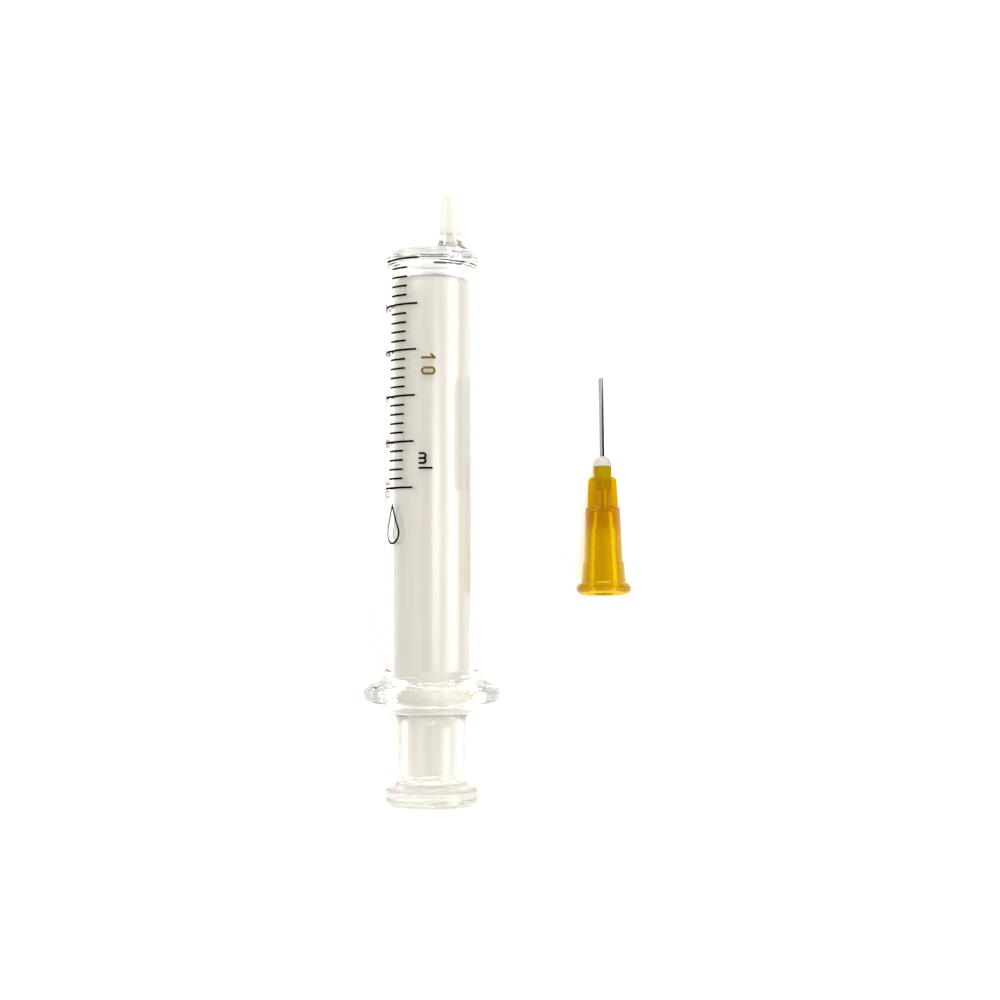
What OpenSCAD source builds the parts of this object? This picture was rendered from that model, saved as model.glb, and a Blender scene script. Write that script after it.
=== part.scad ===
// All-glass syringe, 10 ml, with an eccentric slip nozzle, and the blunt needle that fits on it.
// It lies along Y with the nozzle towards +Y. X is across the finger flange and Z is up.
// The origin is on the bench, under the middle of the flat on the finger flange's underside.
// Stations are distances along Y from the middle of the finger flange.

/* [Barrel] */
// Outer diameter of the glass tube
barrel_d = 19.4; // [18.8:0.1:19.6]
// Diameter of the ground bore
bore_d = 16.4; // [16.2:0.1:16.8]
// Station of the closed end's outer face
shoulder_y = 92.4; // [88:0.1:96]
// Thickness of the closed end
end_wall = 2.5; // [1.5:0.1:3]
// Radius of the corner round the closed end
shoulder_corner = 1.1; // [0.6:0.1:1.8]
// Radius of the corner at the bottom of the bore
bore_corner = 1.4; // [0.6:0.1:2]
// Distance of the open mouth below the middle of the finger flange
mouth_depth = 4.0; // [3.9:0.1:4.6]
// Wall thickness of the collar below the finger flange
collar_wall = 0.35; // [0.3:0.05:0.6]

/* [Finger flange] */
// Width of the finger flange over its wings
flange_w = 28.9; // [27:0.1:29.4]
// Thickness of the finger flange at its rounded edge
flange_t = 3.6; // [2.6:0.1:3.8]
// Height of the barrel's axis over the flat under the flange, which stops the syringe rolling
axis_h = 10.15; // [10.05:0.05:10.8]
// Radius of the fillet between the barrel and the flange
flange_fillet = 2.8; // [2:0.1:3.4]
// Radius of the fillet between the collar and the flange
collar_fillet = 1.5; // [1:0.1:1.6]

/* [Nozzle] */
// Diameter at the nozzle's tip, of the 6 % Luer cone
nozzle_tip_d = 3.95; // [3.9:0.01:4.0]
// Length of the whole nozzle above the closed end
nozzle_len = 11.3; // [10:0.1:12]
// Length of the ground cone
nozzle_cone = 7.5; // [7:0.1:8]
// Sideways offset of the nozzle from the barrel's axis
nozzle_x = 3.8; // [3:0.1:4.2]
// Upward offset of the nozzle from the barrel's axis
nozzle_z = 3.0; // [0:0.1:3.4]
// Diameter of the channel through the nozzle
channel_d = 1.3; // [0.8:0.1:1.6]

/* [Scale] */
// Volume at the last graduation, in millilitres
capacity = 10; // [10:10]
// Volume between numbered graduations, in millilitres
major_step = 2; // [2:2]
// Short graduations between two numbered ones
minor_count = 4; // [1:9]
// Width of a graduation line
line_w = 0.42; // [0.2:0.02:0.5]
// Thickness of the fired enamel
enamel_t = 0.05; // [0.04:0.01:0.08]
// Angle round the barrel where the numbered lines start, from straight up
major_from = -73; // [-80:1:-60]
// Angle that a numbered line covers
major_sweep = 58; // [40:1:65]
// Angle round the barrel where the short lines start, from straight up
minor_from = -57; // [-60:1:-50]
// Angle that a short line covers
minor_sweep = 27; // [20:1:30]
// Angle by which the printed scale wanders round the barrel from 0 to the last line
scale_skew = -7.5; // [-10:0.5:0]

/* [Marks] */
// Height of the numerals on the scale
numeral_h = 3.0; // [2:0.1:3.4]
// Height of the capacity mark
capacity_h = 3.0; // [2:0.1:3.4]
// Height of the unit mark
unit_h = 2.9; // [2:0.1:3.2]
// Stroke width of the marks
stroke_w = 0.44; // [0.3:0.02:0.5]
// Length of the drop outline
drop_len = 8.6; // [6:0.1:9]
// Width of the drop outline
drop_w = 4.8; // [4:0.1:5.5]

/* [Plunger] */
// Radial clearance of the ground plunger in the ground bore
plunger_gap = 0.05; // [0.02:0.01:0.08]
// Station of the plunger's closed nose, with a little left in the barrel
plunger_nose_y = 86.8; // [60:0.1:88.2]
// Station where the ground surface ends
ground_end_y = -4.0; // [-4.4:0.1:-3.8]
// Diameter of the clear neck
neck_d = 13.8; // [12:0.1:14.4]
// Radius of the hollow curve from the ground part down to the neck
neck_curve = 4.0; // [3:0.1:6]
// Diameter of the thumb disc
disc_d = 19.4; // [18.9:0.1:20]
// Thickness of the thumb disc
disc_t = 4.2; // [3.4:0.1:4.6]
// Radius of the thumb disc's rounded corners
disc_corner = 1.3; // [0.8:0.1:1.4]
// Station of the thumb disc's end face
disc_end_y = -23.35; // [-26:0.05:-22]
// Radius of the fillet between the neck and the thumb disc
disc_fillet = 2.0; // [1:0.1:2]
// Glass thickness of the ground part
plunger_wall = 1.4; // [1:0.1:2]
// Glass thickness of the neck
neck_wall = 1.6; // [1.2:0.1:2.2]

/* [Needle hub] */
// Diameter of the hub's end flange
hub_flange_d = 11.7; // [10.4:0.1:12.4]
// Thickness of the hub's end flange
hub_flange_t = 2.2; // [1.8:0.1:2.6]
// Diameter of the skirt above the flange
skirt_d = 8.8; // [8.5:0.1:9.2]
// Height of the top of the skirt
skirt_top = 6.7; // [6:0.1:8]
// Diameter of the body where it leaves the skirt
body_low_d = 8.3; // [7.8:0.1:8.4]
// Diameter of the body at its top
body_high_d = 7.4; // [6.9:0.1:7.7]
// Height of the top of the body
body_top = 18.4; // [18:0.1:20]
// Width over two opposite ribs at their foot
rib_low_w = 6.6; // [6.2:0.1:6.8]
// Width over two opposite ribs at their top
rib_high_w = 6.0; // [5.6:0.1:6.2]
// Thickness of a rib
rib_t = 1.1; // [0.8:0.1:1.4]
// Height of the top of the ribs
rib_top = 25.0; // [24:0.1:26]
// Diameter of the nose
nose_d = 3.9; // [3.6:0.1:4.2]
// Height of the top of the nose
nose_top = 27.2; // [27:0.1:29]
// Diameter of the Luer socket at its mouth
socket_d = 4.3; // [4.27:0.01:4.32]
// Depth of the Luer socket
socket_depth = 13.6; // [8:0.1:14]

/* [Cannula] */
// Outer diameter of the steel tube
cannula_d = 1.04; // [0.8:0.02:1.1]
// Inner diameter of the steel tube
cannula_bore_d = 0.6; // [0.4:0.02:0.65]
// Height of the cannula's blunt end above the hub's end face
cannula_top = 46.7; // [40:0.1:50]
// Height of the adhesive bead over the nose
bead_h = 2.4; // [1.6:0.1:2.6]

/* [Layout] */
// Distance between the syringe's axis and the needle's, on the bench
needle_x = 36.2; // [30:0.1:60]
// Station of the needle hub's end face
needle_y = 20.6; // [0:0.1:60]
// Angle of the needle from the syringe's direction, seen from above
needle_turn = 0.3; // [-5:0.1:5]

/* [Hidden] */
$fn = 96;

glass = [0.90, 0.94, 0.94, 0.35];
ground_glass = [0.94, 0.93, 0.90, 0.85];
enamel = [0.11, 0.08, 0.05];
amber_enamel = [0.48, 0.40, 0.16];
hub_plastic = [0.87, 0.64, 0.04];
adhesive = [0.92, 0.90, 0.88];
steel = [0.75, 0.76, 0.78];

luer_taper = 0.03;
barrel_r = barrel_d / 2;
bore_r = bore_d / 2;
plunger_r = bore_r - plunger_gap;
neck_r = neck_d / 2;

// The 0 line is level with the bottom of the bore
zero_y = shoulder_y - end_wall;
mm_per_ml = 1000 / (PI * bore_r * bore_r);
line_count = capacity / major_step * (minor_count + 1);

// Stretches of the nozzle above the closed end
root_top = nozzle_len - nozzle_cone;
cone_foot_r = nozzle_tip_d / 2 + luer_taper * nozzle_cone;
root_fillet = 2.6;
root_step = 0.12;
tip_corner = 0.7;
funnel_r = 1.3;
funnel_top = 2.8;

// Inside of the needle hub: a domed chamber above the socket, and the glue well in the nose
chamber_low_r = 1.6;
chamber_high_r = 1.3;
chamber_top = 18.2;
well_foot = 22.1;
well_low_r = 0.75;
well_high_r = 1.2;
well_bite = 0.03;
cannula_foot = 17.7;
rib_corner = 1.0;

// The needle lies nose down on its flange, and on the cannula's end or on a rib, whichever touches first
hub_rim_r = hub_flange_t / 2;
function dip_onto(r, top, corner) =
    let (drop = hub_flange_d / 2 - hub_rim_r - (r - corner),
         run = top - corner - hub_rim_r)
    atan2(drop, run) + asin((hub_rim_r - corner) / norm([drop, run]));
needle_dip = min(dip_onto(rib_high_w / 2, rib_top, rib_corner), dip_onto(cannula_d / 2, cannula_top, 0));
needle_h = (hub_flange_d / 2 - hub_rim_r) * cos(needle_dip) + hub_rim_r * sin(needle_dip) + hub_rim_r;

// Points along an arc, about one every 8 degrees
function arc(centre, r, from, to) =
    let (steps = max(2, ceil(abs(to - from) / 8)))
    [for (k = [0 : steps]) let (at = from + (to - from) * k / steps) centre + r * [cos(at), sin(at)]];

// Outline of one side of a round-edged disc that flares out of a bar: a fillet that turns
// through the sweep, a straight slope, then the edge down to its outermost point
function flare(bar_r, disc_r, edge_r, fillet_r, sweep) =
    let (fillet_end = bar_r + fillet_r * (1 - cos(sweep)),
         edge_start = disc_r - edge_r + edge_r * cos(sweep),
         fillet_y = (edge_r + fillet_r) * sin(sweep) + (edge_start - fillet_end) / tan(sweep))
    concat(arc([bar_r + fillet_r, fillet_y], fillet_r, 180, 180 + sweep),
           arc([disc_r - edge_r, 0], edge_r, sweep, 0));

// The same outline, seen in a mirror and followed back
function under(points) = [for (k = [len(points) - 1 : -1 : 0]) [points[k][0], -points[k][1]]];

function raised(points, h) = [for (p = points) p + [0, h]];

// Things on the barrel's axis, drawn with their length along Z
module on_axis() {
    translate([0, 0, axis_h]) rotate([-90, 0, 0]) children();
}

// Things on the nozzle's axis, from the closed end upwards
module on_nozzle_axis() {
    on_axis() translate([nozzle_x, -nozzle_z, shoulder_y]) children();
}

// Things on the needle's axis, from the hub's end face upwards
module on_needle_axis() {
    translate([needle_x, needle_y, needle_h])
        rotate([-90 - needle_dip, 0, needle_turn]) children();
}

// ---- Barrel: tube, closed end, finger flange and collar, blown from one glass tube ----

module barrel_section() {
    flange_r = flange_w / 2;
    edge_r = flange_t / 2;
    collar_r = bore_r + collar_wall;
    mouth_flare = 0.12;
    outside = concat(
        arc([barrel_r - shoulder_corner, shoulder_y - shoulder_corner], shoulder_corner, 90, 0),
        flare(barrel_r, flange_r, edge_r, flange_fillet, 68),
        under(flare(collar_r, flange_r, edge_r, collar_fillet, 80)));
    bore = concat(
        [[bore_r + mouth_flare, -mouth_depth], [bore_r, mouth_flare - mouth_depth]],
        arc([bore_r - bore_corner, zero_y - bore_corner], bore_corner, 0, 90));
    polygon(concat([[0, shoulder_y]], outside, [[collar_r, -mouth_depth]], bore, [[0, zero_y]]));
}

module barrel() {
    color(glass) difference() {
        on_axis() rotate_extrude() barrel_section();
        translate([-flange_w, -flange_w / 2, -flange_w]) cube([2 * flange_w, flange_w, flange_w]);
        on_nozzle_axis() translate([0, 0, -end_wall - 1]) cylinder(r = funnel_r, h = end_wall + 2);
    }
}

// ---- Nozzle: a ground Luer cone sealed to the closed end, off the barrel's axis ----

module nozzle_section() {
    root_r = cone_foot_r + root_step;
    corner_r = nozzle_tip_d / 2 - tip_corner;
    outside = concat(
        arc([root_r + root_fillet, root_fillet], root_fillet, 240, 180),
        [[root_r, root_top - root_step], [cone_foot_r, root_top]],
        arc([corner_r, nozzle_len - tip_corner], tip_corner, 0, 90));
    channel = [[channel_d / 2, nozzle_len], [channel_d / 2, funnel_top], [funnel_r, 0]];
    polygon(concat([[outside[0][0], 0]], outside, channel));
}

module nozzle() {
    color(ground_glass) on_nozzle_axis() rotate_extrude() nozzle_section();
}

// ---- Enamel scale: lines fired onto the outside of the tube ----

// One line round the barrel at a station, from one angle over a sweep
module enamel_line(station, from, sweep) {
    on_axis() rotate([0, 0, from - 90]) rotate_extrude(angle = sweep)
        translate([barrel_r, station - line_w / 2]) square([enamel_t, line_w]);
}

// Station of a graduation, and how far the print has wandered there
function line_y(n) = zero_y - n * mm_per_ml * major_step / (minor_count + 1);
function line_skew(n) = scale_skew * n / line_count;

module scale_major_lines() {
    color(enamel) for (n = [0 : minor_count + 1 : line_count])
        enamel_line(line_y(n), major_from + line_skew(n), major_sweep);
}

module scale_minor_lines() {
    color(enamel) for (n = [0 : line_count]) if (n % (minor_count + 1) != 0)
        enamel_line(line_y(n), minor_from + line_skew(n), minor_sweep);
}

// ---- Enamel figures: plain strokes, drawn flat and laid onto the tube ----

// Lays a flat figure onto the tube with its middle at a station and an angle.
// It reads along the barrel from the nozzle towards the flange. No figure is longer than the drop.
module on_tube(station, angle) {
    reach = drop_len;
    on_axis() intersection() {
        rotate([0, 0, angle - 90]) translate([barrel_r - 1, 0, station]) rotate([0, 90, 0])
            linear_extrude(2) children();
        translate([0, 0, station - reach]) difference() {
            cylinder(r = barrel_r + enamel_t, h = 2 * reach);
            translate([0, 0, -1]) cylinder(r = barrel_r, h = 2 * reach + 2);
        }
    }
}

// A straight stroke between two points
module stroke(a, b) {
    run = b - a;
    translate(a) rotate(atan2(run[1], run[0])) translate([-stroke_w / 2, -stroke_w / 2])
        square([norm(run) + stroke_w, stroke_w]);
}

// A round stroke of a given middle radius over an angle, no more than half a turn at a time
module bow(centre, r, from, sweep) {
    corner = 2 * r;
    translate(centre) intersection() {
        difference() {
            circle(r + stroke_w / 2);
            circle(r - stroke_w / 2);
        }
        polygon([[0, 0], for (k = [0 : 4]) corner * [cos(from + k * sweep / 4), sin(from + k * sweep / 4)]]);
    }
}

// A closed loop of two half circles and two straight sides
module loop(w, h) {
    r = min(w, h) / 2;
    rise = max(0, h / 2 - r);
    for (side = [-1, 1]) {
        bow([0, side * rise], r, side > 0 ? 0 : 180, 180);
        if (rise > 0) stroke([side * r, -rise], [side * r, rise]);
    }
}

// A numeral of height h, centred, as wide as 0.56 of its height
module numeral(n, h) {
    half = h / 2 - stroke_w / 2;
    w = 0.56 * h - stroke_w;
    if (n == 0) loop(w, 2 * half);
    if (n == 1) {
        stroke([0, -half], [0, half]);
        stroke([-w / 2, half - w / 2], [0, half]);
    }
    if (n == 2) {
        bow([0, half - w / 2], w / 2, 0, 180);
        stroke([w / 2, half - w / 2], [-w / 2, -half]);
        stroke([-w / 2, -half], [w / 2, -half]);
    }
    if (n == 4) {
        stroke([w / 4, -half], [w / 4, half]);
        stroke([w / 4, half], [-w / 2, -half / 3]);
        stroke([-w / 2, -half / 3], [w / 2, -half / 3]);
    }
    if (n == 6) {
        translate([0, w / 2 - half]) loop(w, w);
        bow([w / 2, w / 2 - half], w, 115, 65);
    }
    if (n == 8) {
        for (side = [-1, 1]) translate([0, side * half / 2]) loop(w, half);
    }
}

module scale_numerals() {
    pitch = 0.72 * numeral_h;
    color(enamel) for (ml = [major_step : major_step : capacity]) {
        n = ml / major_step * (minor_count + 1);
        digits = ml < 10 ? [ml] : [floor(ml / 10), ml % 10];
        for (k = [0 : len(digits) - 1])
            on_tube(line_y(n) - (k - (len(digits) - 1) / 2) * pitch, -84 + line_skew(n))
                numeral(digits[k], numeral_h);
    }
}

module capacity_mark() {
    mark_y = 67.8;
    pitch = 0.9 * capacity_h;
    color(amber_enamel) for (k = [0, 1])
        on_tube(mark_y - (k - 0.5) * pitch, -3) numeral(1 - k, capacity_h);
}

module unit_mark() {
    mark_y = 48;
    half = unit_h / 2 - stroke_w / 2;
    arch = 0.5;
    first_leg = -1.5;
    tall_stem = 1.5;
    color(enamel) on_tube(mark_y, -6) {
        for (k = [0, 1]) bow([first_leg + arch * (1 + 2 * k), -arch], arch, 0, 180);
        for (k = [0 : 2]) stroke([first_leg + 2 * arch * k, -half], [first_leg + 2 * arch * k, -arch]);
        stroke([tall_stem, -half], [tall_stem, half]);
    }
}

// A solid drop, round at one end and drawn to a point at the other
module drop(r, tip) {
    turn = 180 - acos(r / tip);
    polygon(concat([[-tip, 0]], arc([0, 0], r, -turn, turn)));
}

// A plain liquid drop in outline, point towards the nozzle
module drop_mark() {
    mark_y = 35.2;
    r = drop_w / 2;
    tip = drop_len - r;
    inner_r = r - stroke_w;
    color(enamel) on_tube(mark_y, -56) translate([drop_len / 2 - r, 0]) difference() {
        drop(r, tip);
        drop(inner_r, tip * inner_r / r);
    }
}

// ---- Plunger: one hollow sealed piece of glass, ground where it runs in the bore ----

module plunger_section() {
    nose_corner = bore_corner + 0.6;
    inner_corner = 1.5;
    inner_foot_corner = 2;
    disc_r = disc_d / 2;
    upper_corner_y = disc_end_y + disc_t - disc_corner;
    curve_turn = acos(1 - (plunger_r - neck_r) / neck_curve);
    curve_foot_y = ground_end_y - neck_curve * sin(curve_turn);
    outside = concat(
        arc([plunger_r - nose_corner, plunger_nose_y - nose_corner], nose_corner, 90, 0),
        arc([neck_r + neck_curve, curve_foot_y], neck_curve, 180 - curve_turn, 180),
        raised(flare(neck_r, disc_r, disc_corner, disc_fillet, 75), upper_corner_y),
        arc([disc_r - disc_corner, disc_end_y + disc_corner], disc_corner, 0, -90));
    inner_r = plunger_r - plunger_wall;
    inner_neck_r = neck_r - neck_wall;
    inner_nose_y = plunger_nose_y - plunger_wall;
    inner_foot_y = disc_end_y + disc_t;
    hollow = concat(
        arc([inner_neck_r - inner_foot_corner, inner_foot_y + inner_foot_corner], inner_foot_corner,
            -90, 0),
        arc([inner_neck_r + neck_curve, curve_foot_y], neck_curve, 180, 180 - curve_turn),
        arc([inner_r - inner_corner, inner_nose_y - inner_corner], inner_corner, 0, 90));
    polygon(concat([[0, plunger_nose_y]], outside, [[0, disc_end_y], [0, inner_foot_y]], hollow,
                   [[0, inner_nose_y]]));
}

module plunger() {
    color(ground_glass) on_axis() rotate_extrude() plunger_section();
}

// ---- Needle: moulded hub, steel cannula and the bead that glues it in ----

module hub_section() {
    flange_r = hub_flange_d / 2;
    step_break = 0.25;
    polygon(concat(
        [[0, 0]],
        arc([flange_r - hub_rim_r, hub_rim_r], hub_rim_r, -90, 90),
        arc([skirt_d / 2 - step_break, skirt_top - step_break], step_break, 0, 90),
        [[body_low_d / 2, skirt_top], [body_high_d / 2, body_top - step_break],
         [body_high_d / 2 - step_break, body_top], [nose_d / 2, body_top], [nose_d / 2, nose_top],
         [0, nose_top]]));
}

module rib_outline() {
    top_r = rib_high_w / 2;
    corner = [top_r - rib_corner, rib_top - rib_corner];
    right = concat([[rib_low_w / 2, body_top - 0.5]], arc(corner, rib_corner, 0, 90));
    left = [for (k = [len(right) - 1 : -1 : 0]) [-right[k][0], right[k][1]]];
    polygon(concat(right, left));
}

module hub_hollow() {
    socket_end_r = socket_d / 2 - luer_taper * socket_depth;
    hole_r = cannula_d / 2 + well_bite;
    polygon(concat(
        [[0, -1], [socket_d / 2 + luer_taper, -1], [socket_end_r, socket_depth],
         [chamber_low_r, socket_depth]],
        arc([0, chamber_top - chamber_high_r], chamber_high_r, 0, acos(hole_r / chamber_high_r)),
        [[hole_r, well_foot], [well_low_r, well_foot], [well_high_r, nose_top],
         [well_high_r, nose_top + 1], [0, nose_top + 1]]));
}

module needle_hub() {
    color(hub_plastic) on_needle_axis() difference() {
        union() {
            rotate_extrude() hub_section();
            for (turn = [0, 90]) rotate([90, 0, turn]) translate([0, 0, -rib_t / 2])
                linear_extrude(rib_t) rib_outline();
        }
        rotate_extrude() hub_hollow();
    }
}

// The glue fills the well and stands over the nose in a dome
module adhesive_bead() {
    plug_low_r = well_low_r + well_bite;
    plug_high_r = well_high_r + well_bite;
    bead_r = nose_d / 2 + 0.05;
    dome_r = (pow(bead_r, 2) + pow(bead_h, 2)) / (2 * bead_h);
    hole_r = cannula_d / 2;
    color(adhesive) on_needle_axis() rotate_extrude() polygon(concat(
        [[hole_r, well_foot], [plug_low_r, well_foot], [plug_high_r, nose_top]],
        arc([0, nose_top + bead_h - dome_r], dome_r, asin((dome_r - bead_h) / dome_r),
            acos(hole_r / dome_r))));
}

module cannula() {
    bore = cannula_bore_d / 2;
    outer = cannula_d / 2;
    end_break = 0.05;
    color(steel) on_needle_axis() rotate_extrude() polygon([
        [bore, cannula_foot], [outer, cannula_foot], [outer, cannula_top - end_break],
        [outer - end_break, cannula_top], [bore, cannula_top]]);
}

barrel();
nozzle();
scale_major_lines();
scale_minor_lines();
scale_numerals();
capacity_mark();
unit_mark();
drop_mark();
plunger();
needle_hub();
adhesive_bead();
cannula();
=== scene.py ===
import math

import bpy
from mathutils import Matrix, Vector

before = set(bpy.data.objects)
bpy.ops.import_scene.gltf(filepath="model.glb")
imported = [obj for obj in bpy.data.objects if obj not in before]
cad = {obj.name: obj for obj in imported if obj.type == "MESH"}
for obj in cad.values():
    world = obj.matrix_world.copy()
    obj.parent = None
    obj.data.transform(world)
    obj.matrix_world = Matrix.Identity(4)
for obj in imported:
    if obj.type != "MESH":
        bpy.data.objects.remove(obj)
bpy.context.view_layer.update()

scene = bpy.context.scene


# ---------------------------------------------------------------- bench, camera and light
# A white laminate bench in a soft surround. Glass on white shows only by what it bends in from the sides, so
# the surround is brightest in a ring at mid height, dimmer overhead and at the left, and dark in two low
# bands, at the thumb end and at the right.

def linear(hex_colour):
    """An sRGB hex colour as linear red, green, blue and alpha."""
    channels = [int(hex_colour[i:i + 2], 16) / 255 for i in (1, 3, 5)]
    return [c / 12.92 if c <= 0.04045 else ((c + 0.055) / 1.055) ** 2.4 for c in channels] + [1.0]


def add_node(tree, kind, settings=None, links=None):
    """Adds one shader node. Settings name its properties or input sockets, and links feed its inputs."""
    made = tree.nodes.new("ShaderNode" + kind)
    for name, value in (settings or {}).items():
        if isinstance(name, str) and hasattr(made, name):
            setattr(made, name, value)
        else:
            made.inputs[name].default_value = value
    for name, source in (links or {}).items():
        tree.links.new(source, made.inputs[name])
    return made


def ramp(tree, source, start, end, low, high, kind="LINEAR"):
    """A number that goes from low to high as the source goes from start to end, and is level beyond them."""
    made = add_node(tree, "MapRange", {
        "interpolation_type": kind,
        "From Min": start,
        "From Max": end,
        "To Min": low,
        "To Max": high,
    }, {"Value": source})
    return made.outputs[0]


def times(tree, first, second):
    """The product of two numbers."""
    return add_node(tree, "Math", {"operation": "MULTIPLY"}, {0: first, 1: second}).outputs[0]


def new_material(name):
    """An empty node material with its output node."""
    material = bpy.data.materials.new(name)
    material.use_nodes = True
    material.node_tree.nodes.clear()
    return material, material.node_tree, add_node(material.node_tree, "OutputMaterial")


def finish_with(material, *pieces):
    """Gives a finished material to pieces, in their first material slot."""
    for piece in pieces:
        if not piece.material_slots:
            piece.data.materials.append(material)
        piece.material_slots[0].material = material


bench_side = 3.0
bench_white = "#f4f3f0"
bench_glow = 0.16

bpy.ops.object.select_all(action="DESELECT")
bpy.ops.mesh.primitive_grid_add(x_subdivisions=12, y_subdivisions=12, size=bench_side)
bench = bpy.context.object
bench.name = "bench"
bench_laminate, tree, output = new_material("white laminate")
surface = add_node(tree, "BsdfPrincipled", {
    "Base Color": linear(bench_white),
    "Roughness": 0.75,
    "Specular IOR Level": 0.2,
    "Emission Color": linear("#fffefc"),
    "Emission Strength": bench_glow,
})
tree.links.new(surface.outputs[0], output.inputs["Surface"])
finish_with(bench_laminate, bench)

sky_ring = 2.15
sky_low = 0.80
sky_overhead = 0.38
sky_right = 0.80
sky_left = 0.70
sky_dark_bands = 0.20

world = bpy.data.worlds.new("soft surround")
world.use_nodes = True
scene.world = world
tree = world.node_tree
tree.nodes.clear()
direction = add_node(tree, "TexCoord")
towards = add_node(tree, "SeparateXYZ", links={"Vector": direction.outputs["Generated"]}).outputs
thumb_end = ramp(tree, towards["Y"], -0.35, -0.60, 0.0, 1.0, "SMOOTHSTEP")
far_right = ramp(tree, towards["X"], 0.60, 0.80, 0.0, 1.0, "SMOOTHSTEP")
near_bench = ramp(tree, towards["Z"], 0.15, 0.33, 1.0, 0.0, "SMOOTHSTEP")
either = add_node(tree, "Math", {"operation": "MAXIMUM"}, {0: thumb_end, 1: far_right})
dark_bands = times(tree, either.outputs[0], near_bench)
sky = ramp(tree, towards["Z"], 0.05, 0.55, sky_low, 1.0, "SMOOTHSTEP")
for shade in (
    ramp(tree, towards["Z"], 0.80, 0.97, 1.0, sky_overhead, "SMOOTHSTEP"),
    ramp(tree, towards["X"], 0.05, 0.55, 1.0, sky_right),
    ramp(tree, towards["X"], -0.10, -0.60, 1.0, sky_left),
    ramp(tree, dark_bands, 0.0, 1.0, 1.0, sky_dark_bands),
):
    sky = times(tree, sky, shade)
strength = add_node(tree, "Math", {"operation": "MULTIPLY", 1: sky_ring}, {0: sky})
background = add_node(tree, "Background", {"Color": linear("#fffdf8")}, {"Strength": strength.outputs[0]})
add_node(tree, "OutputWorld", links={"Surface": background.outputs[0]})


def softbox(name, place, wide, long, brightness):
    """A soft-edged light that faces the bench's middle, as bright as a white surface times brightness."""
    lamp = bpy.data.lights.new(name, "AREA")
    lamp.shape = "RECTANGLE"
    lamp.size, lamp.size_y = wide, long
    lamp.energy = brightness * math.pi * wide * long
    lamp.use_nodes = True
    tree = lamp.node_tree
    tree.nodes.clear()
    spot = add_node(tree, "NewGeometry")
    from_middle = add_node(tree, "VectorMath", {"operation": "DISTANCE", 1: (0.5, 0.5, 0.0)},
                           {0: spot.outputs["Parametric"]})
    faded = ramp(tree, from_middle.outputs["Value"], 0.5, 0.0, 0.0, 1.0, "SMOOTHSTEP")
    glow = add_node(tree, "Emission", links={"Strength": faded})
    add_node(tree, "OutputLight", links={"Surface": glow.outputs[0]})
    made = bpy.data.objects.new(name, lamp)
    made.location = place
    made.rotation_euler = (Vector((0, 0.04, 0)) - made.location).to_track_quat("-Z", "Y").to_euler()
    made.visible_camera = False
    scene.collection.objects.link(made)
    return made


# The key light falls on everything. The side and end lights bring out the glass and are kept off the needle.
softbox("key softbox", (0.16, 0.06, 0.75), 0.40, 0.50, 4.0)
glass_lights = [
    softbox("side softbox", (0.85, 0.08, 0.55), 1.0, 1.0, 4.0),
    softbox("far end softbox", (0.06, 0.75, 0.60), 0.15, 0.15, 22.0),
    softbox("near end softbox", (0.06, -0.60, 0.60), 0.15, 0.15, 22.0),
]
needle_pieces = ("needle_hub", "adhesive_bead", "cannula")
lit_by_glass_lights = bpy.data.collections.new("lit by the glass lights")
for piece in [bench] + [o for n, o in cad.items() if n not in needle_pieces]:
    lit_by_glass_lights.objects.link(piece)
for lamp in glass_lights:
    lamp.light_linking.receiver_collection = lit_by_glass_lights

# A black flag lies and stands beside the cannula. Only mirror-like surfaces see it, so it edges the steel.
flag_place = Vector((0.0372, 0.0445, 0.0002))
flag_wide, flag_long, flag_high = 0.016, 0.026, 0.05
flag_profile = [(0, 0), (flag_wide, 0), (flag_wide, flag_high)]
bpy.ops.mesh.primitive_grid_add(x_subdivisions=2, y_subdivisions=2, size=1)
flag = bpy.context.object
flag.name = "black flag"
for corner in flag.data.vertices:
    x, z = flag_profile[round(corner.co.x * 2) + 1]
    corner.co = flag_place + Vector((x, (corner.co.y + 0.5) * flag_long, z))
flag.visible_camera = flag.visible_diffuse = flag.visible_transmission = flag.visible_shadow = False
black_felt, tree, output = new_material("black felt")
surface = add_node(tree, "BsdfDiffuse", {"Color": linear("#050505")})
tree.links.new(surface.outputs[0], output.inputs["Surface"])
finish_with(black_felt, flag)

camera_place = Vector((0.0142, 0.0254, 0.378))
camera_target = Vector((0.0142, 0.0403, 0.01015))
camera_data = bpy.data.cameras.new("camera")
camera_data.lens = 63.2
camera_data.sensor_width = 36.0
camera_data.clip_start = 0.01
camera = bpy.data.objects.new("camera", camera_data)
back = (camera_place - camera_target).normalized()
right = Vector((0, 1, 0)).cross(back).normalized()
turn = Matrix((right, back.cross(right), back)).transposed().to_4x4()
camera.matrix_world = Matrix.Translation(camera_place) @ turn
scene.collection.objects.link(camera)
scene.camera = camera

scene.view_settings.view_transform = "Standard"
scene.cycles.max_bounces = 40
scene.cycles.transmission_bounces = 40
scene.cycles.glossy_bounces = 16
scene.cycles.diffuse_bounces = 6


# ---------------------------------------------------------------- barrel
# Borosilicate glass tube, closed and shouldered at one end and flared at the other into a finger flange, all
# worked in a flame. Drawing the tube leaves faint streaks along it, the flame a slight waviness, and the
# pressing of the flange ripples round its rim.

def noise(tree, place, size, detail):
    """Cloudy noise whose lumps are about as big as size, which is one length or three."""
    if isinstance(size, tuple):
        place = add_node(tree, "Mapping", {"Scale": tuple(1 / s for s in size)}, {"Vector": place}).outputs[0]
        size = 1.0
    return add_node(tree, "TexNoise", {"Scale": 1 / size, "Detail": detail}, {"Vector": place}).outputs[0]


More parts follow.
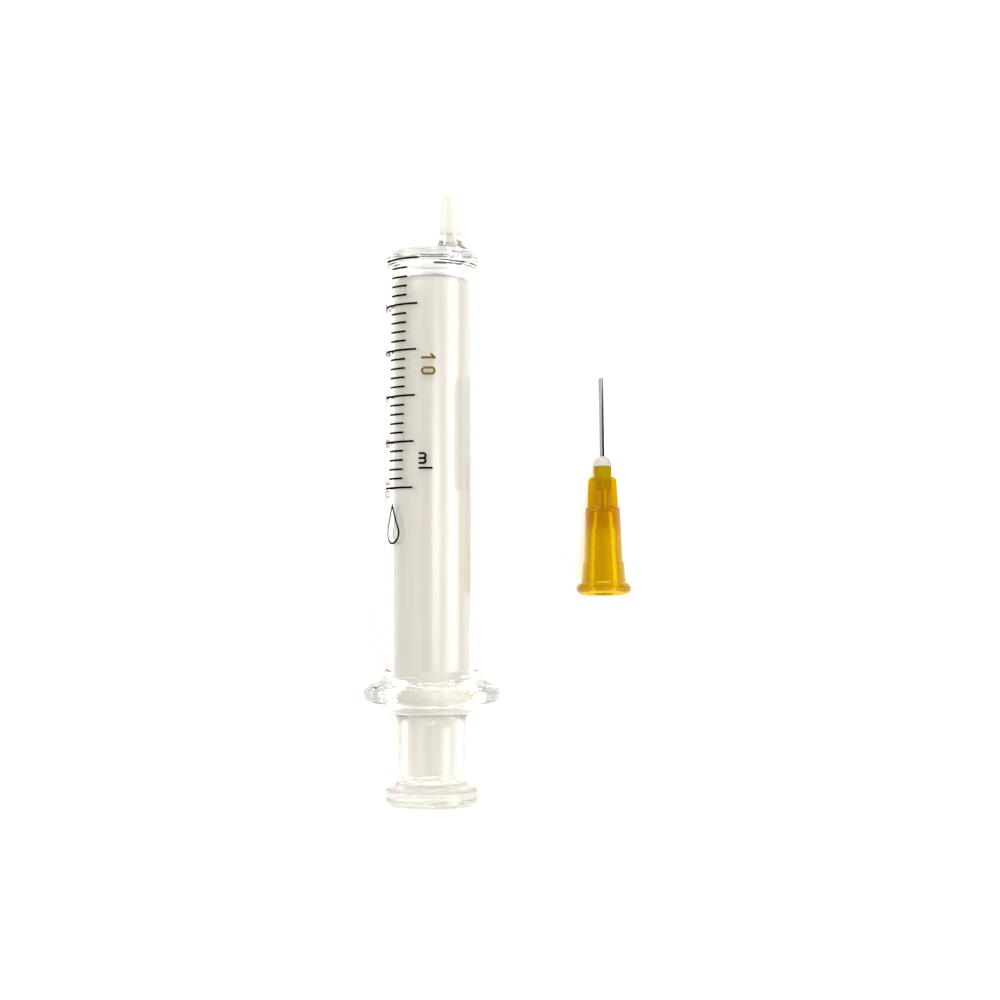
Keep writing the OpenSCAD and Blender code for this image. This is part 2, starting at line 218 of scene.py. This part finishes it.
def bump(tree, height, strength, depth, under=None):
    """Raises a surface by a height that is at most depth, over another bump if there is one."""
    links = {"Height": height}
    if under is not None:
        links["Normal"] = under
    return add_node(tree, "Bump", {"Strength": strength, "Distance": depth}, links).outputs[0]


glass_ior = 1.474
streak_size = (0.0016, 0.05, 0.0016)
wave_size = 0.009
ripple_size = (0.010, 0.0016, 0.010)
flange_reach = 0.003
flange_end = 0.005

borosilicate, tree, output = new_material("borosilicate glass")
place = add_node(tree, "TexCoord").outputs["Object"]
streaks = bump(tree, noise(tree, place, streak_size, 2.0), 0.3, 0.00002)
waves = bump(tree, noise(tree, place, wave_size, 1.0), 0.2, 0.0001, streaks)
split = add_node(tree, "SeparateXYZ", links={"Vector": place})
from_flange = add_node(tree, "Math", {"operation": "ABSOLUTE"}, {0: split.outputs["Y"]})
on_flange = ramp(tree, from_flange.outputs[0], flange_reach, flange_end, 1.0, 0.0)
ripple_height = times(tree, noise(tree, place, ripple_size, 2.0), on_flange)
ripples = bump(tree, ripple_height, 1.0, 0.0010, waves)
surface = add_node(tree, "BsdfPrincipled", {
    "Base Color": linear("#ffffff"),
    "Roughness": 0.0,
    "IOR": glass_ior,
    "Transmission Weight": 1.0,
}, {"Normal": ripples})
tree.links.new(surface.outputs[0], output.inputs["Surface"])
finish_with(borosilicate, cad["barrel"])


# ---------------------------------------------------------------- nozzle
# A solid glass cone sealed to the closed end, off the axis. Its taper is ground to fit a needle hub, so it is
# matt and ivory white, while the sealed root stays clear.

taper_start = 0.0957
grinding_blur = 0.0004
nozzle_grit_size = 0.00025

ground_nozzle, tree, output = new_material("ground glass")
place = add_node(tree, "TexCoord").outputs["Object"]
grit = bump(tree, noise(tree, place, nozzle_grit_size, 2.0), 0.3, 0.00004)
split = add_node(tree, "SeparateXYZ", links={"Vector": place})
clear_root = ramp(tree, split.outputs["Y"], taper_start + grinding_blur, taper_start - grinding_blur,
                  0.0, 1.0)
surface = add_node(tree, "BsdfPrincipled", {
    "Base Color": linear("#e8e6e0"),
    "IOR": glass_ior,
}, {
    "Roughness": ramp(tree, clear_root, 0.0, 1.0, 0.5, 0.15),
    "Transmission Weight": ramp(tree, clear_root, 0.0, 1.0, 0.6, 0.9),
    "Normal": grit,
})
tree.links.new(surface.outputs[0], output.inputs["Surface"])
finish_with(ground_nozzle, cad["nozzle"])


# ---------------------------------------------------------------- scale and marks
# Vitreous enamel, printed on the tube through a screen and fired, so that it bites into the glass. The scale
# is brown-black, and the capacity mark a dull olive amber.

def blend(tree, share, first, second):
    """A colour between two hex colours, all the first where the share is 0."""
    settings = {"data_type": "RGBA", 6: linear(first), 7: linear(second)}
    return add_node(tree, "Mix", settings, {0: share}).outputs[2]


def fired_enamel(name, thick_colour, thin_colour):
    """Dull enamel that runs thinner in patches, as a screened print does."""
    material, tree, output = new_material(name)
    place = add_node(tree, "TexCoord").outputs["Object"]
    patches = noise(tree, place, patch_size, 3.0)
    surface = add_node(tree, "BsdfPrincipled", {"Roughness": 0.5, "IOR": 1.52, "Specular IOR Level": 0.0},
                       {"Base Color": blend(tree, patches, thick_colour, thin_colour)})
    tree.links.new(surface.outputs[0], output.inputs["Surface"])
    return material


patch_size = 0.0008

brown_enamel = fired_enamel("fired brown enamel", "#050302", "#160e08")
amber_enamel = fired_enamel("fired amber enamel", "#574708", "#6f5c1a")
finish_with(brown_enamel, cad["scale_major_lines"], cad["scale_minor_lines"], cad["scale_numerals"],
            cad["unit_mark"], cad["drop_mark"])
finish_with(amber_enamel, cad["capacity_mark"])


# ---------------------------------------------------------------- plunger
# One hollow sealed piece of borosilicate glass. The body is ground to the bore with fine grit and looks like
# frosted milk glass, while the waisted neck and the thumb disc are left clear from the flame.

axis_height = 0.01015
ground_end = -0.0040
ground_blur = 0.0002
skin_start, skin_end = 0.0072, 0.0078
plunger_grit_size = 0.0002

ground_plunger, tree, output = new_material("ground borosilicate glass")
place = add_node(tree, "TexCoord").outputs["Object"]
on_axis = add_node(tree, "Mapping", {"Location": (0, 0, -axis_height)}, {"Vector": place})
split = add_node(tree, "SeparateXYZ", links={"Vector": on_axis.outputs[0]})
across = add_node(tree, "CombineXYZ", links={"X": split.outputs["X"], "Z": split.outputs["Z"]})
from_axis = add_node(tree, "VectorMath", {"operation": "LENGTH"}, {0: across.outputs[0]})
outer_skin = ramp(tree, from_axis.outputs["Value"], skin_start, skin_end, 0.0, 1.0)
body = ramp(tree, split.outputs["Y"], ground_end - ground_blur, ground_end + ground_blur, 0.0, 1.0)
ground = times(tree, outer_skin, body)
grit_height = times(tree, noise(tree, place, plunger_grit_size, 2.0), ground)
surface = add_node(tree, "BsdfPrincipled", {"IOR": glass_ior}, {
    "Base Color": blend(tree, ground, "#f0efec", "#f1ece4"),
    "Roughness": ramp(tree, ground, 0.0, 1.0, 0.10, 0.6),
    "Transmission Weight": ramp(tree, ground, 0.0, 1.0, 0.92, 0.25),
    "Normal": bump(tree, grit_height, 0.3, 0.00003),
})
tree.links.new(surface.outputs[0], output.inputs["Surface"])
finish_with(ground_plunger, cad["plunger"])


# ---------------------------------------------------------------- needle hub
# Injection-moulded polypropylene, tinted amber so that the gauge is told by its colour. It soaks up blue
# light, so the thick ribbed part looks orange and the thin socket and nose yellow. The end face is matt.

peel_size = 0.0006
ribs_start, ribs_end = 0.0325, 0.0365
nose_start, nose_end = 0.0445, 0.0455
end_face_edge, end_face_full = -0.90, -0.96

amber_polypropylene, tree, output = new_material("amber polypropylene")
coordinates = add_node(tree, "TexCoord")
place = coordinates.outputs["Object"]
peel = bump(tree, noise(tree, place, peel_size, 2.0), 0.2, 0.00003)
facing = add_node(tree, "SeparateXYZ", links={"Vector": coordinates.outputs["Normal"]})
end_face = ramp(tree, facing.outputs["Y"], end_face_edge, end_face_full, 0.0, 1.0)
split = add_node(tree, "SeparateXYZ", links={"Vector": place})
above_socket = ramp(tree, split.outputs["Y"], ribs_start, ribs_end, 0.0, 1.0, "SMOOTHSTEP")
below_nose = ramp(tree, split.outputs["Y"], nose_start, nose_end, 1.0, 0.0)
surface = add_node(tree, "BsdfPrincipled", {
    "IOR": 1.49,
    "Specular IOR Level": 0.3,
    "Specular Tint": linear("#e0a020"),
}, {
    "Base Color": blend(tree, times(tree, above_socket, below_nose), "#e2c500", "#d8ac00"),
    "Roughness": ramp(tree, end_face, 0.0, 1.0, 0.1, 0.8),
    "Transmission Weight": ramp(tree, end_face, 0.0, 1.0, 0.8, 0.3),
    "Normal": peel,
})
tree.links.new(surface.outputs[0], output.inputs["Surface"])
dye = add_node(tree, "VolumeAbsorption", {"Color": (0.99, 0.955, 0.0, 1.0), "Density": 800.0})
tree.links.new(dye.outputs[0], output.inputs["Volume"])
finish_with(amber_polypropylene, cad["needle_hub"])


# ---------------------------------------------------------------- adhesive bead
# Two-part epoxy run round the cannula at the hub's nose and cured to a milky dome, with a plug of the same
# glue down in the well.

cloud_size = 0.001

white_epoxy, tree, output = new_material("epoxy")
place = add_node(tree, "TexCoord").outputs["Object"]
surface = add_node(tree, "BsdfPrincipled", {
    "Roughness": 0.3,
    "IOR": 1.55,
    "Transmission Weight": 0.25,
    "Subsurface Weight": 0.3,
    "Subsurface Scale": 0.001,
}, {"Base Color": blend(tree, noise(tree, place, cloud_size, 2.0), "#cbc9c4", "#d7d5d0")})
tree.links.new(surface.outputs[0], output.inputs["Surface"])
finish_with(white_epoxy, cad["adhesive_bead"])


# ---------------------------------------------------------------- cannula
# Drawn stainless steel tube, cut off square and deburred. Drawing leaves very fine lines along it.

line_size = (0.00008, 0.006, 0.00008)

cannula_steel, tree, output = new_material("stainless steel")
place = add_node(tree, "TexCoord").outputs["Object"]
surface = add_node(tree, "BsdfPrincipled", {
    "Base Color": linear("#a6a8ac"),
    "Metallic": 1.0,
}, {"Roughness": ramp(tree, noise(tree, place, line_size, 2.0), 0.0, 1.0, 0.08, 0.20)})
tree.links.new(surface.outputs[0], output.inputs["Surface"])
finish_with(cannula_steel, cad["cannula"])
